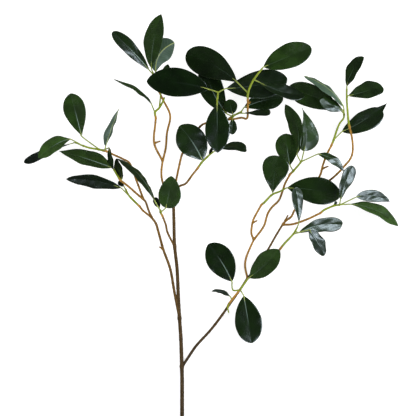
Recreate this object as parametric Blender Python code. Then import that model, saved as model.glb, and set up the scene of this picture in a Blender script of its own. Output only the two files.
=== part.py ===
"""A ficus branch that lies on a table: one woody branch and its leafy sprays.

Places are in millimetres on the table: x to the right, y from the cut end of the stem towards the
tips, z up. The origin of the finished part is the middle of its bounding box, on the table.
"""

import math

import bpy
import numpy as np
from mathutils import Vector

MM = 0.001
GAP = 0.3
"""Clear space between two pieces that meet."""
BOX_CENTRE = (46.65, 345.2)
"""Middle of the whole branch, seen from the cut end of its stem."""

STEM_RADIUS = 3.4
RISE_RADIUS = 3.3
"""Radius with which the rising part of the stem starts, inside the part that rests."""
FORK_RADIUS = 2.5
"""Radius of the stem at its last fork."""
BRANCH_RADIUS = 2.3
BRANCH_END_RADIUS = 2.0
TWIG_RADIUS = 1.75
TWIG_END_RADIUS = 1.65
NUB_RADIUS = 1.35
NUB_END_RADIUS = 1.15
KNOT_RADIUS = 2.7
SHOOT_RADIUS = 1.9
SHOOT_END_RADIUS = 1.4
SIDE_SHOOT_END_RADIUS = 1.0
STALK_RADIUS = 1.05

STEM_SIDES = 8
TWIG_SIDES = 6
KNOT_SIDES = 8
KNOT_ROWS = 4
KNOT_FLAT = 0.12
"""Share of the half turn from pole to pole that a knot leaves out at each pole."""
STALK_SIDES = 6
"""As many points as a blade's section has."""
STEM_REST = STEM_RADIUS * math.cos(math.pi / STEM_SIDES)
"""Height of the stem's middle line where one of its eight flats lies on the table."""
SHOOT_LEAD = 2.0
"""How far a shoot runs straight out of the wood before it bends."""
STEEP = 0.95
"""Upward share of a direction above which it counts as vertical."""

BLADE_THICKNESS = 0.9
BLADE_STATIONS = 11
END_HALF_WIDTH = 0.75
"""Half the width that a blade keeps at its very tip."""
DRIP_WIDTH = 0.3
"""Width of a drip tip where it starts, as a share of the blade's widest."""

SHARP_ANGLE = math.radians(40)
SOLVER = "EXACT"

BARK = (0.26, 0.13, 0.055)
BARK_ROUGHNESS = 0.75
LEAF_GREEN = (0.012, 0.045, 0.018)
LEAF_ROUGHNESS = 0.35

STEM = [(0, 0, STEM_REST), (0, 60, STEM_REST), (0, 107, STEM_REST), (-1, 145, 4), (-2, 173, 5.5),
        (-4, 202, 7.5), (-6, 239, 10), (-8, 283, 14), (-12, 321, 18), (-13, 360, 22), (-14, 402, 27)]

RIGHT_BRANCH = [(0, 126, STEM_REST), (8, 138, 4), (23, 160, 6), (45, 184, 9), (62, 206, 11),
                (76, 226, 14), (91, 247, 17), (105, 268, 20)]

LEFT_BRANCH = [(-4, 204, 7.7), (-8, 224, 10), (-13, 250, 11), (-19, 283, 13), (-30, 314, 15),
               (-38, 343, 17), (-42, 356, 18), (-49, 366, 19)]

TWIGS = {
    "inner": [(-12, 319, 17.8), (-23, 341, 22), (-26, 354, 25), (-31, 367, 28)],
    "left_low": [(-49, 366, 19), (-62, 376, 18), (-67, 382, 18)],
    "left_fork": [(-49, 366, 19), (-54, 378, 21), (-58, 390, 22), (-62, 395, 23)],
    "left_tip": [(-62, 395, 23), (-72, 422, 24), (-83, 451, 27), (-94, 459, 31), (-107, 465, 36),
                 (-120, 471, 41)],
    "left_middle": [(-62, 395, 23), (-73, 404, 27), (-83, 413, 31), (-97, 424, 36)],
    "top_left": [(-14, 402, 27), (-27, 414, 30), (-32, 426, 32), (-33, 440, 34), (-31, 456, 36)],
    "top_stalk": [(-31, 456, 36), (-43, 479, 40), (-45, 494, 43), (-43, 512, 46), (-42, 523, 48)],
    "top_leaves": [(-31, 456, 36), (-26, 477, 38), (-24, 501, 39), (-19, 523, 40), (-21, 536, 41),
                   (-30, 553, 42), (-36, 566, 43)],
    "right_of_stem": [(-14, 402, 27), (-5, 415, 29), (6, 420, 31), (16, 433, 33), (24, 443, 35)],
    "middle": [(-14, 402, 27), (-10, 422, 30), (-5, 446, 34), (1, 469, 38), (14, 491, 43),
               (29, 511, 48), (40, 517, 51), (56, 520, 54), (74, 522, 56), (84, 523, 57),
               (95, 525, 58), (104, 524, 60), (105, 539, 72), (105, 552, 84)],
    "inner_right": [(105, 268, 20), (101, 288, 22), (104, 305, 24), (115, 330, 27)],
    "right_inner": [(115, 330, 27), (111, 341, 29), (113, 358, 31), (117, 368, 33),
                    (126, 384, 36)],
    "right_middle": [(115, 330, 27), (126, 344, 27), (132, 354, 28), (137, 371, 28), (144, 382, 29),
                     (155, 393, 29), (161, 408, 31), (165, 420, 33), (172, 433, 36)],
    "right_long": [(105, 268, 20), (121, 290, 20), (137, 313, 20), (149, 334, 21), (161, 354, 24)],
    "right_low": [(161, 354, 24), (178, 355, 27), (201, 363, 32), (220, 372, 37)],
    "right_up": [(161, 354, 24), (166, 360, 26), (175, 367, 28), (180, 377, 30), (190, 391, 31),
                 (204, 411, 32)],
    "right_upper": [(204, 411, 32), (220, 431, 35), (225, 448, 38), (231, 465, 41), (238, 479, 44)],
    "right_top": [(204, 411, 32), (220, 418, 32), (236, 425, 34), (251, 438, 37), (259, 447, 39),
                  (269, 459, 43), (273, 472, 47), (272, 491, 53), (268, 508, 59)],
    "right_cross": [(105, 268, 20), (120, 277, 21), (136, 291, 23), (150, 306, 27),
                    (157, 315, 30)],
}

NUBS = [
    [(-30, 314, 15), (-37, 319, 16)],
    [(-43, 485, 41), (-34, 488, 43)],
    [(225, 444, 37), (235, 448, 39)],
    [(113, 357, 31), (121, 361, 33)],
    [(165, 360, 26), (170, 370, 29)],
    [(105, 547, 79.5), (110, 550, 78)],
]


def leaf(root, base, tip, width, roll=0.0, bend=(0, 0, 0), fold=14.0, ends=(0.95, 0.62), twist=0.0,
         lean=0.0, drip=0.0):
    """One leaf: where its stalk starts, where its blade starts and ends, the blade's full width,
    the turn of the blade about its rib in degrees, how far the rib bends aside at mid length, the
    fold of each half upwards, the powers with which the outline widens from the base and narrows to
    the tip, the degrees by which the tip is turned more than the base, the share by which the right
    half is wider and the left half narrower, and the share of the length that is a thin drip tip."""
    return dict(root=root, base=base, tip=tip, width=width, roll=roll, bend=bend, fold=fold, ends=ends,
                twist=twist, lean=lean, drip=drip)


SPRAYS = {
    "spray_left_tip": dict(
        joins=("left_tip", None),
        shoots=[[(-131, 474, 44), (-148, 477, 46), (-160, 481, 46)]],
        leaves=[
            leaf((-133, 475, 44), (-160, 495, 50), (-178, 564, 52), 37, 8, ends=(1.2, 0.66)),
            leaf((-160, 481, 46), (-178, 491, 48), (-230, 461, 42), 34, -44, (2, 6, 6),
                 ends=(1.05, 0.8), twist=20),
            leaf((-158, 480, 46), (-171, 485, 40), (-253, 453, 0.55), 17, 34, (-2, 3, 8),
                 ends=(1.9, 0.55)),
            leaf((-124, 472, 42.6), (-122, 480, 48), (-100, 540, 66), 30, 112, (-2, -2, 0),
                 ends=(0.8, 1.2)),
            leaf((-126, 473, 43), (-117, 477, 52), (-110, 443, 62), 24, -66, (0, 0, 6), ends=(0.8, 0.7)),
        ],
    ),
    "spray_left_middle": dict(
        joins=("left_middle", None),
        shoots=[[(-103, 432, 38), (-110, 444, 40)]],
        leaves=[
            leaf((-108, 441, 39.7), (-112, 445, 40), (-197, 472, 14), 36, -42, (2, 1, 4), 18,
                 ends=(0.9, 1.1)),
            leaf((-100, 428, 37), (-96, 427, 38.5), (-105, 460, 44), 21, 52, ends=(0.8, 0.8)),
        ],
    ),
    "spray_left_low": dict(
        joins=("left_low", None),
        shoots=[[(-79, 394, 17), (-86, 402, 17), (-91, 412, 17)]],
        leaves=[
            leaf((-82, 397, 17), (-98, 413, 19), (-186, 427, 16), 33, 50, (0, 5, 2), ends=(0.8, 0.8)),
            leaf((-90, 410, 17), (-93, 415, 18), (-102, 424, 20), 9, 20),
        ],
    ),
    "spray_inner": dict(
        joins=("inner", None),
        shoots=[[(-34, 373, 31), (-35, 379, 34)]],
        leaves=[
            leaf((-34, 374, 31.5), (-26, 381, 40), (-17, 432, 56), 38, 10, (1, 0, 0),
                 ends=(0.52, 0.72), lean=0.12),
            leaf((-34, 375, 32), (-43, 391, 44), (-104, 460, 64), 25, 62, (6, 7, 5), ends=(0.9, 0.8)),
            leaf((-35, 377, 33), (-36, 380, 35), (-43, 398, 37), 13, 30),
        ],
    ),
    "spray_top_stalk": dict(
        joins=("top_stalk", None),
        shoots=[
            [(-43, 534, 51), (-36, 541, 53), (-30, 552, 55), (-28, 558, 56)],
            [(-36, 541, 53), (-35, 552, 57), (-34, 563, 59)],
        ],
        leaves=[
            leaf((-43, 533, 50.6), (-49, 547, 56), (-109, 586, 60), 22, 74, (9, 3, 4), ends=(0.8, 0.8)),
            leaf((-34, 561, 58.8), (-33, 566, 60), (-22, 610, 66), 16, 20),
        ],
    ),
    "spray_top_left": dict(
        joins=("top_leaves", None),
        shoots=[[(-39, 577, 44), (-44, 588, 45), (-46, 596, 46)]],
        leaves=[
            leaf((-45, 593, 45.6), (-52, 601, 47), (-111, 662, 58), 25, -26, (1, 1, 5), 12,
                 ends=(0.9, 0.5)),
            leaf((-46, 596, 46), (-49, 604, 50), (-33, 690, 68), 35, 28, (-4, 0, 4), ends=(0.95, 0.8)),
            leaf((-45, 592, 45.5), (-42, 598, 48), (-12, 645, 50), 38, 168, (-9, 5, 4), 12),
        ],
    ),
    "spray_right_of_stem": dict(
        joins=("right_of_stem", None),
        shoots=[[(31, 453, 38), (41, 463, 40), (50, 471, 42)]],
        leaves=[
            leaf((31, 453, 38), (33, 457, 42), (-4, 512, 64), 49, 6, (2, 2, 4), ends=(0.85, 0.68)),
            leaf((49, 470, 41.8), (57, 474, 42), (103, 475, 40), 26, 52, (0, 4, 4), ends=(1.0, 0.32)),
            leaf((40, 462, 39.8), (43, 466, 41), (49, 477, 44), 6, 30),
        ],
    ),
    "spray_fork": dict(
        joins=("middle", (56, 520, 54), (0.0, 0.25, 1.0)),
        shoots=[[(56, 528, 67), (56, 546, 84), (57, 558, 92), (58, 566, 95)]],
        leaves=[
            leaf((58, 565, 94.6), (42, 570, 95), (-56, 582, 92), 48, -6, (2, 4, 3), ends=(0.85, 0.7)),
            leaf((58, 565, 94.6), (70, 571, 90), (168, 588, 62), 46, 4, (0, -3, -2), 8),
            leaf((56, 552, 88), (56, 545, 86), (57, 469, 68), 41, 4, (0, 0, 5), ends=(0.85, 0.78)),
        ],
    ),
    "spray_crown_low": dict(
        joins=("middle", (76, 522, 56.2), (0.1, 0.5, 1.0)),
        shoots=[[(79, 526, 62), (84, 529, 63), (90, 532, 64), (96, 535, 64)]],
        leaves=[
            leaf((81, 527, 62.4), (72, 531, 65), (37, 606, 48), 40, 0, (-5, -2, 0)),
            leaf((82, 528, 62.6), (81, 531, 65), (75, 554, 71), 23, 12, ends=(0.7, 0.55)),
            leaf((81, 527, 62.4), (81, 523, 65), (80, 498, 63), 16, 24, ends=(0.8, 0.6)),
            leaf((90, 532, 64), (97, 532, 79), (141, 532, 86), 18, 50, ends=(1.2, 0.32)),
            leaf((95, 535, 64), (99, 541, 60), (162, 556, 46), 34, 8, (0, 4, 0)),
        ],
    ),
    "spray_crown": dict(
        joins=("middle", None),
        shoots=[[(105, 562, 94), (108, 572, 99), (115, 586, 101), (128, 603, 101)]],
        leaves=[
            leaf((105, 564, 95), (88, 581, 95), (6, 626, 46), 48, 6, (5, 4, -8), ends=(1.0, 0.52)),
            leaf((127, 602, 101), (130, 605, 101), (206, 636, 92), 42, 12, (-1, 0, 5), ends=(0.8, 0.58)),
            leaf((114, 585, 100.7), (121, 582, 101), (192, 564, 78), 33, 46, (6, -8, 8), 12,
                 ends=(0.95, 0.5)),
        ],
    ),
    "spray_right_upper": dict(
        joins=("right_upper", None),
        shoots=[[(243, 491, 47), (247, 504, 51), (252, 516, 55), (258, 524, 58), (259, 532, 60)]],
        leaves=[
            leaf((259, 531, 59.8), (254, 536, 60), (169, 571, 46), 40, 16, (0, 5, 4)),
            leaf((259, 531, 59.8), (258, 542, 64), (195, 591, 72), 32, 112, (6, 5, 5), ends=(0.9, 0.7)),
            leaf((259, 530, 59.5), (257, 537, 62), (220, 552, 80), 24, -27, (0, 0, 1), 6),
            leaf((243, 490, 46.7), (256, 503, 44), (329, 549, 0.45), 38, 24, (2, -3, 7),
                 ends=(0.75, 0.5), lean=0.18, drip=0.17),
        ],
    ),
    "spray_right_top": dict(
        joins=("right_top", None),
        shoots=[[(266, 518, 62), (265, 528, 64), (263, 554, 68), (263, 571, 70)]],
        leaves=[
            leaf((263, 570, 70), (263, 575, 72), (290, 621, 92), 30, 48, (-4, 2, 2), ends=(0.9, 0.7)),
            leaf((263, 554, 68), (265, 560, 70), (320, 575, 56), 36, 38, (0, -1, 4), ends=(0.95, 0.5)),
        ],
    ),
    "spray_right_middle": dict(
        joins=("right_middle", None),
        shoots=[[(180, 442, 39), (191, 455, 43)]],
        leaves=[
            leaf((190, 454, 42.6), (184, 466, 48), (165, 546, 66), 38, 54, (10, 2, 3), ends=(0.95, 0.7)),
            leaf((191, 455, 43), (195, 472, 48), (192, 540, 74), 33, -27, (5, -2, 4),
                 ends=(0.55, 1.35), lean=0.3),
            leaf((178, 440, 38.4), (173, 449, 38), (166, 500, 36), 38, 0, (-1, 0, 2)),
            leaf((191, 455, 43), (217, 467, 60), (259, 439, 54), 17, 38, (3, 5, 3), 6, ends=(0.8, 0.9)),
        ],
    ),
    "spray_right_inner": dict(
        joins=("right_inner", None),
        shoots=[[(132, 390, 39), (144, 402, 43), (156, 407, 46), (165, 412, 48)]],
        leaves=[
            leaf((143, 401, 42.7), (145, 403, 45), (154, 464, 58), 44, 0, (-2, 0, 4), ends=(1.4, 0.55)),
            leaf((164, 411.6, 47.8), (168, 413, 49), (254, 400, 42), 45, 0, (0, 3, 5), ends=(0.95, 0.68)),
        ],
    ),
    "spray_right_low": dict(
        joins=("right_low", None),
        shoots=[[(228, 378, 41), (242, 384, 45), (253, 386, 48)]],
        leaves=[
            leaf((252, 386, 47.8), (253, 392, 52), (273, 448, 70), 28, -41, (-2, 2, 4), 8,
                 ends=(1.15, 0.52)),
            leaf((253, 386, 48), (278, 398, 58), (332, 391, 52), 25, -38, (0, 6, 3), 6, ends=(0.8, 0.9)),
            leaf((252, 386, 47.8), (268, 387, 46), (347, 352, 12), 34, 55, (4, 7, 5), 9, ends=(1.1, 0.85)),
            leaf((241, 383.5, 44.7), (243, 386, 43), (248, 391, 40), 5, 0),
        ],
    ),
    "spray_right_cross": dict(
        joins=("right_cross", None),
        shoots=[[(165, 325, 34), (178, 339, 39), (184, 349, 42)]],
        leaves=[
            leaf((184, 349, 42), (187, 357, 48), (180, 413, 74), 24, -38, (2, 2, 3), 7, ends=(1.2, 0.5)),
            leaf((181, 344, 40.5), (187, 341, 44), (256, 353, 46), 32, -42, (0, 7, 3), 8,
                 ends=(0.8, 0.36)),
            leaf((178, 339, 39), (203, 346, 56), (228, 305, 46), 28, 40, (0, 2, 4), 10, ends=(0.8, 0.6)),
        ],
    ),
    "spray_right_base": dict(
        joins=("branch", (74, 223, 13.5), (0.0, 0.1, 1.0)),
        shoots=[
            [(75, 227, 19), (84, 239, 21), (92, 249, 23), (105, 267, 26)],
            [(92, 249, 23), (82, 249, 24), (80, 256, 25), (80, 260, 26)],
            [(76, 228, 19.2), (73, 222, 19), (75, 212, 17)],
        ],
        leaves=[
            leaf((104, 266, 25.8), (107, 269, 28), (156, 314, 52), 38, 20, (1, -2, 3), ends=(0.9, 0.7)),
            leaf((80, 260, 26), (80, 263, 27), (42, 323, 32), 45, 0, (2, 2, 4), ends=(0.85, 0.68)),
            leaf((93, 250, 23), (99, 240, 25), (112, 164, 12), 45, 4, (0, 0, 5), ends=(0.85, 0.66)),
            leaf((80, 234, 20), (77, 239, 23), (47, 247, 24), 13, 56, (0, 5, 3), ends=(0.8, 0.9)),
        ],
    ),
}


def direction(start, end):
    """Unit vector from start to end."""
    return (Vector(end) - Vector(start)).normalized()


def frames(points):
    """Each point of a route with its tangent, sideways and upward unit vectors. The sideways vector
    starts level and is carried along, so that a tube doesn't twist."""
    points = [Vector(point) for point in points]
    side = None
    found = []
    for index, point in enumerate(points):
        tangent = Vector((0, 0, 0))
        if index > 0:
            tangent += direction(points[index - 1], point)
        if index < len(points) - 1:
            tangent += direction(point, points[index + 1])
        tangent.normalize()
        if side is None:
            level = Vector((0, 0, 1)) if abs(tangent.z) < STEEP else Vector((0, -1, 0))
            side = tangent.cross(level)
        side = (side - tangent * side.dot(tangent)).normalized()
        found.append((point, tangent, side, side.cross(tangent)))
    return found


def ring(centre, side, up, radius, sides):
    """A regular polygon of points, with one flat facing straight down when it has eight sides."""
    turns = (math.pi - (step + 0.5) * 2 * math.pi / sides for step in range(sides))
    return [centre + side * radius * math.cos(turn) + up * radius * math.sin(turn) for turn in turns]


def loft(rings, turned_quads=()):
    """Closed skin of triangles over a row of rings with equal point counts. A quad is split along
    its other diagonal where its place round the ring is in turned_quads."""
    count = len(rings[0])
    vertices = [tuple(point) for points in rings for point in points]
    faces = []
    for row in range(len(rings) - 1):
        for step in range(count):
            here, after = row * count + step, row * count + (step + 1) % count
            if step in turned_quads:
                faces += [(here, after, here + count), (after, after + count, here + count)]
            else:
                faces += [(here, after, after + count), (here, after + count, here + count)]
    last = (len(rings) - 1) * count
    for step in range(count // 2 - 1):
        low, high = step, count - 1 - step
        faces += [(low, high, high - 1), (low, high - 1, low + 1)]
        faces += [(last + low, last + high - 1, last + high), (last + low, last + low + 1, last + high - 1)]
    return vertices, faces


def tube(points, start_radius, end_radius, sides):
    """A tapering stem along a route. Its radius falls evenly with the distance along the route."""
    steps = [0.0]
    for before, after in zip(points, points[1:]):
        steps.append(steps[-1] + (Vector(after) - Vector(before)).length)
    rings = []
    for step, (centre, _, side, up) in zip(steps, frames(points)):
        radius = start_radius + (end_radius - start_radius) * step / steps[-1]
        rings.append(ring(centre, side, up, radius, sides))
    return loft(rings)


def outline(along, shape):
    """Half-width of a blade, as a share of its widest, at a share of its length: a power of the
    distance from the base times a power of the distance to the tip, scaled to reach 1. A drip tip
    takes the last part of the length, as a thin point."""
    rise, fall = shape["ends"]
    widest = rise / (rise + fall)
    body = min(along / (1 - shape["drip"]), 1.0)
    width = (body / widest) ** rise * ((1 - body) / (1 - widest)) ** fall
    if shape["drip"]:
        width = max(width, DRIP_WIDTH * min((1 - along) / shape["drip"], 1.0) * min(2 * along, 1.0))
    return width


def blade_section(centre, side, up, half_widths, fold, thickness):
    """Six points round a blade: left edge, rib and right edge on top, and back along the underside.
    Each edge is its own half-width away and folded up from the rib."""
    out = [side * width * math.cos(fold) for width in half_widths]
    lift = [up * width * math.sin(fold) for width in half_widths]
    half = up * thickness / 2
    top = [centre - out[0] + lift[0] + half, centre + half, centre + out[1] + lift[1] + half]
    return top + [point - 2 * half for point in reversed(top)]


def leaf_solid(shape):
    """A leaf's stalk and blade in one skin. The rib is a bent line from the blade's base to its tip,
    each half of the blade folds up from it, and the blade turns about it."""
    root, base, tip = (Vector(shape[place]) for place in ("root", "base", "tip"))
    pull = (base + tip) / 2 + 2 * Vector(shape["bend"])
    fold = math.radians(shape["fold"])
    shares = [0.5 - 0.5 * math.cos(math.pi * step / BLADE_STATIONS) for step in range(BLADE_STATIONS + 1)]
    rib = [base * (1 - s) ** 2 + pull * 2 * s * (1 - s) + tip * s * s for s in shares]
    rings = []
    for (centre, tangent, _, _), share in zip(frames([root] + rib), [None] + shares):
        level = tangent.cross(Vector((0, 0, 1))).normalized()
        turn = math.radians(shape["roll"] + shape["twist"] * ((share or 0.0) - 0.5))
        side = level * math.cos(turn) + level.cross(tangent) * math.sin(turn)
        up = side.cross(tangent)
        if share is None or share == 0.0:
            rings.append(ring(centre, side, up, STALK_RADIUS, STALK_SIDES))
        else:
            half_width = shape["width"] / 2 * outline(share, shape)
            leans = (1 - shape["lean"], 1 + shape["lean"])
            halves = [max(half_width * lean, END_HALF_WIDTH) for lean in leans]
            rings.append(blade_section(centre, side, up, halves, fold, BLADE_THICKNESS))
    return loft(rings, turned_quads=(1, 4))


def knot(centre, radius):
    """The slight swelling where a twig forks: a turned bead along the vertical axis."""
    centre = Vector(centre)
    rings = []
    for row in range(KNOT_ROWS + 1):
        turn = math.pi * (KNOT_FLAT + (1 - 2 * KNOT_FLAT) * row / KNOT_ROWS)
        level = centre - Vector((0, 0, radius * math.cos(turn)))
        width = radius * math.sin(turn)
        rings.append(ring(level, Vector((1, 0, 0)), Vector((0, -1, 0)), width, KNOT_SIDES))
    return loft(rings)


def make_object(name, solid):
    """A Blender object in millimetres from a solid's vertices and faces."""
    mesh = bpy.data.meshes.new(name)
    mesh.from_pydata(solid[0], [], solid[1])
    mesh.validate()
    return bpy.data.objects.new(name, mesh)


def plain_material(name, colour, roughness):
    """A Principled material of one colour."""
    material = bpy.data.materials.new(name)
    material.use_nodes = True
    shader = material.node_tree.nodes["Principled BSDF"]
    shader.inputs["Base Color"].default_value = (*colour, 1.0)
    shader.inputs["Roughness"].default_value = roughness
    shader.inputs["Metallic"].default_value = 0.0
    return material


def fuse(name, solids, seat, material):
    """One closed body from solids that grow out of each other, with its origin at its seat."""
    body = make_object(name, solids[0])
    bpy.context.scene.collection.objects.link(body)
    grown = bpy.data.collections.new(name + "_pieces")
    bpy.context.scene.collection.children.link(grown)
    for solid in solids[1:]:
        grown.objects.link(make_object(name + "_piece", solid))
    union = body.modifiers.new("union", "BOOLEAN")
    union.operand_type = "COLLECTION"
    union.collection = grown
    union.operation = "UNION"
    union.solver = SOLVER
    bpy.context.view_layer.update()
    joined = bpy.data.meshes.new_from_object(body.evaluated_get(bpy.context.evaluated_depsgraph_get()))
    body.modifiers.clear()
    for piece in list(grown.objects):
        bpy.data.objects.remove(piece)
    bpy.data.collections.remove(grown)
    points = np.empty(len(joined.vertices) * 3)
    joined.vertices.foreach_get("co", points)
    points = (points.reshape(-1, 3) - np.array(seat)) * MM
    joined.vertices.foreach_set("co", points.ravel())
    joined.materials.clear()
    joined.materials.append(material)
    joined.shade_smooth()
    joined.set_sharp_from_angle(angle=SHARP_ANGLE)
    body.data = joined
    joined.name = name
    body.location = (Vector(seat) - Vector((*BOX_CENTRE, 0))) * MM
    return body


def build_branch(material):
    """The stem, its two branches, the twigs and their nubs, grown together."""
    run = next(index for index, point in enumerate(STEM) if point[2] > STEM_REST)
    flat_run = tube(STEM[:run], STEM_RADIUS, STEM_RADIUS, STEM_SIDES)
    rise = tube(STEM[run - 2:], RISE_RADIUS, FORK_RADIUS, STEM_SIDES)
    solids = [flat_run, rise]
    solids.append(tube(RIGHT_BRANCH, BRANCH_RADIUS, BRANCH_END_RADIUS, TWIG_SIDES))
    solids.append(tube(LEFT_BRANCH, BRANCH_RADIUS, BRANCH_END_RADIUS, TWIG_SIDES))
    solids += [tube(route, TWIG_RADIUS, TWIG_END_RADIUS, TWIG_SIDES) for route in TWIGS.values()]
    solids += [tube(route, NUB_RADIUS, NUB_END_RADIUS, TWIG_SIDES) for route in NUBS]
    starts = {tuple(route[0]) for route in TWIGS.values()} - {TWIGS["inner"][0]}
    solids += [knot(start, KNOT_RADIUS) for start in sorted(starts)]
    return fuse("woody_branch", solids, STEM[0], material)


def shoot_start(joins):
    """Where a shoot meets the wood, and its direction there: end to end with a twig, or out of the
    side of one, seated the gap away from the bark."""
    route = RIGHT_BRANCH if joins[0] == "branch" else TWIGS[joins[0]]
    if joins[1] is None:
        along = direction(route[-2], route[-1])
        return Vector(route[-1]) + along * GAP, along
    place = Vector(joins[1])
    runs = []
    for start, end in zip(route, route[1:]):
        runs.append((Vector(start), direction(start, end), (Vector(end) - Vector(start)).length))

    def foot(run):
        return run[0] + run[1] * min(max((place - run[0]).dot(run[1]), 0.0), run[2])

    nearest = min(runs, key=lambda run: (foot(run) - place).length)
    out = Vector(joins[2])
    out = (out - nearest[1] * out.dot(nearest[1])).normalized()
    bark = BRANCH_RADIUS if joins[0] == "branch" else TWIG_RADIUS
    return foot(nearest) + out * (bark + GAP), out


def build_spray(name, spray, material):
    """One leafy shoot: green stem, side stems, and leaves grown from them."""
    seat, along = shoot_start(spray["joins"])
    main = [seat, seat + along * SHOOT_LEAD] + spray["shoots"][0]
    solids = [tube(main, SHOOT_RADIUS, SHOOT_END_RADIUS, TWIG_SIDES)]
    for side in spray["shoots"][1:]:
        solids.append(tube(side, SHOOT_END_RADIUS, SIDE_SHOOT_END_RADIUS, TWIG_SIDES))
    solids += [leaf_solid(shape) for shape in spray["leaves"]]
    return fuse(name, solids, seat, material)


def main():
    for old in list(bpy.data.objects):
        bpy.data.objects.remove(old)
    build_branch(plain_material("bark", BARK, BARK_ROUGHNESS))
    for name, spray in SPRAYS.items():
        build_spray(name, spray, plain_material(name + "_green", LEAF_GREEN, LEAF_ROUGHNESS))


main()
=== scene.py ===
# %% [markdown]
# # A ficus branch laid down on a pale table
#
# The real thing is a cut branch: a brown stem that forks into thin, slightly zigzag twigs, and on the
# end of each twig a short green shoot with a few thick, glossy leaves. It lies on a white surface and
# is seen from straight above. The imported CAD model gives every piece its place. This lesson gives each
# of them its skin: blades with a rib, veins and a wavy edge, green shoots that turn brown at their
# feet, and bark with wrinkles and rings.

import math

import bpy
import numpy as np
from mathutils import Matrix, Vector


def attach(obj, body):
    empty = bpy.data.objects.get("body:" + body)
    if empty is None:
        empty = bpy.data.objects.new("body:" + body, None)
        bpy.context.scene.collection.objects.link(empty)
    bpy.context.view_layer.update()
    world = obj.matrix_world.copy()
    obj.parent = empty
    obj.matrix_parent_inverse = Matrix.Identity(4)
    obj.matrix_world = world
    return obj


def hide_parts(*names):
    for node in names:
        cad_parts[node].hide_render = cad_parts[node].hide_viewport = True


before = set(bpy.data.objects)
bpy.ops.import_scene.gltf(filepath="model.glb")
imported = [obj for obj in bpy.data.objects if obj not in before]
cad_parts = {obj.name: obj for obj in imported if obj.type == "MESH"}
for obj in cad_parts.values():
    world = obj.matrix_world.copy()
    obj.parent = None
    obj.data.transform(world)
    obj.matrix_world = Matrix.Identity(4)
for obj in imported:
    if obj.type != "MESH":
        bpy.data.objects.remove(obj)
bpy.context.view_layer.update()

# %% [markdown]
# ## Places in millimetres
#
# The branch was measured in millimetres from the cut end of its stem, x to the right, y towards the
# tips and z up, so the same numbers are used here. A single helper brings them to metres round the
# middle of the part, which keeps every shape below free of scale factors.

# %% Millimetres to the part's own frame
MM = 0.001
BOX_CENTRE = np.array((46.65, 345.2, 0.0))


def to_metres(points):
    """Millimetres from the cut end to metres from the middle of the part."""
    return (np.asarray(points, float) - BOX_CENTRE) * MM


def unit(vectors):
    """Vectors divided by their lengths."""
    return vectors / np.linalg.norm(vectors, axis=-1, keepdims=True)


def add_object(name, data):
    """A new object in the scene, made of a mesh, a camera or a light."""
    thing = bpy.data.objects.new(name, data)
    bpy.context.scene.collection.objects.link(thing)
    return thing


# %% [markdown]
# ## Camera
#
# The photo looks straight at the branch from far away: leaves near its edges show no side that the
# middle ones don't. An orthographic camera would do, but a long lens ten metres up is closer to a real
# one. Its view is set so that one photo pixel is 1.6 mm on the leaves.

# %% Camera above the branch
PIXEL = 1.6
PHOTO_PIXELS = 416
CUT_END_PIXEL = (182, 446)
LEAF_HEIGHT = 0.04
CAMERA_DISTANCE = 10.0
SENSOR_WIDTH = 36.0
FAR_CLIP = 50.0
middle = PHOTO_PIXELS / 2
photo_centre = to_metres((PIXEL * (middle - CUT_END_PIXEL[0]), PIXEL * (CUT_END_PIXEL[1] - middle), 0.0))
view_width = PHOTO_PIXELS * PIXEL * MM

camera_data = bpy.data.cameras.new("camera_above")
camera_data.sensor_width = SENSOR_WIDTH
camera_data.lens = camera_data.sensor_width * CAMERA_DISTANCE / view_width
camera_data.clip_end = FAR_CLIP
camera = add_object("camera_above", camera_data)
camera.location = (photo_centre[0], photo_centre[1], LEAF_HEIGHT + CAMERA_DISTANCE)
bpy.context.scene.camera = camera
print("lens in mm:", round(camera_data.lens, 1), "view width in mm:", round(view_width / MM, 1))

# %% [markdown]
# ## Routes of the wood
#
# The wood is a main stem, a branch to each side and thin twigs that bend a little at every old leaf.
# Tracing an edge of the CAD mesh would bring its facets along, so each stem is a list of points on its
# middle line. They are the same points as in the CAD model, because the leaves are seated on them.

# %% Stem, branches, twigs and nubs
STEM_RADIUS, FORK_RADIUS, BRANCH_RADIUS, BRANCH_END_RADIUS = 3.4, 2.5, 2.3, 2.0
TWIG_RADIUS, NUB_RADIUS, SHOOT_RADIUS, SHOOT_END_RADIUS, STALK_RADIUS = 1.75, 1.35, 1.9, 1.4, 1.1
SIDE_SHOOT_END_RADIUS = 1.0
REST = 3.141

STEM = [(0, 0, REST), (0, 60, REST), (0, 107, REST), (-1, 145, 4), (-2, 173, 5.5), (-4, 202, 7.5),
        (-6, 239, 10), (-8, 283, 14), (-12, 321, 18), (-13, 360, 22), (-14, 402, 27)]
RIGHT_BRANCH = [(0, 126, REST), (8, 138, 4), (23, 160, 6), (45, 184, 9), (62, 206, 11), (76, 226, 14),
                (91, 247, 17), (105, 268, 20)]
LEFT_BRANCH = [(-4, 204, 7.7), (-8, 224, 10), (-13, 250, 11), (-19, 283, 13), (-30, 314, 15),
               (-38, 343, 17), (-42, 356, 18), (-49, 366, 19)]

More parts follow.
